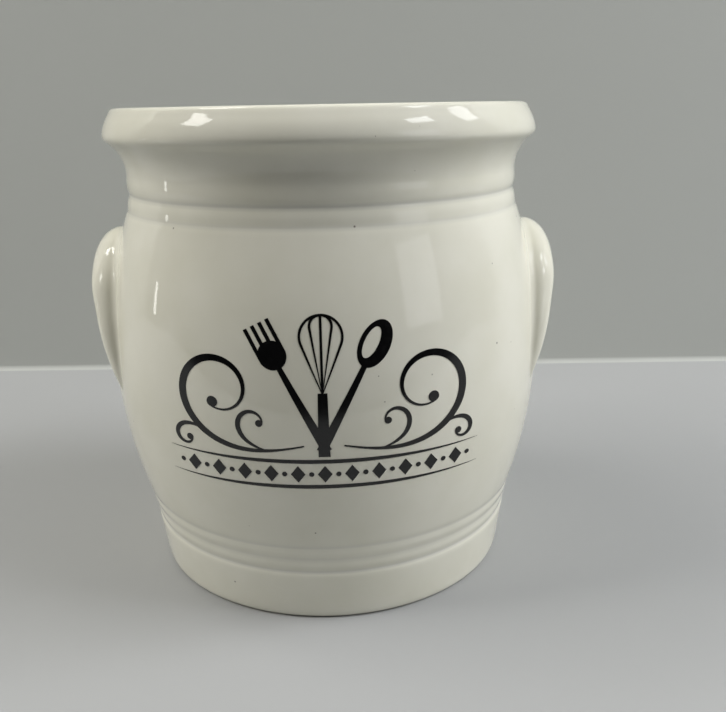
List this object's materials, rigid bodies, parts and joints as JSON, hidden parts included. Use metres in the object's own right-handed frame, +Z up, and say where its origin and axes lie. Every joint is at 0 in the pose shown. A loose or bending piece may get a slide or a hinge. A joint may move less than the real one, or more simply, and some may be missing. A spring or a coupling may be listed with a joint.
{
  "type": "utensil holder",
  "caption": "Barrel-shaped glazed stoneware crock that kitchen utensils stand in, with a flared rim, ringed shoulder and foot, arched ear lugs at its sides and a black utensil print on its front.",
  "frame": {"origin": "on the crock's axis, at the level of its flat foot ring", "axes": "+Z up through the mouth, the printed front faces -Y, the ear lugs lie along -X (left) and +X (right)"},
  "size_m": [0.163, 0.1571, 0.165],
  "materials": {
    "white_glazed_stoneware": "clear gloss glaze over a warm white body",
    "black_fired_print": "black enamel transfer fired into the glaze"
  },
  "bodies": {
    "root": {"crock_body": "white_glazed_stoneware", "left_lug": "white_glazed_stoneware", "right_lug": "white_glazed_stoneware", "front_print": "black_fired_print"}
  },
  "joints": []
}
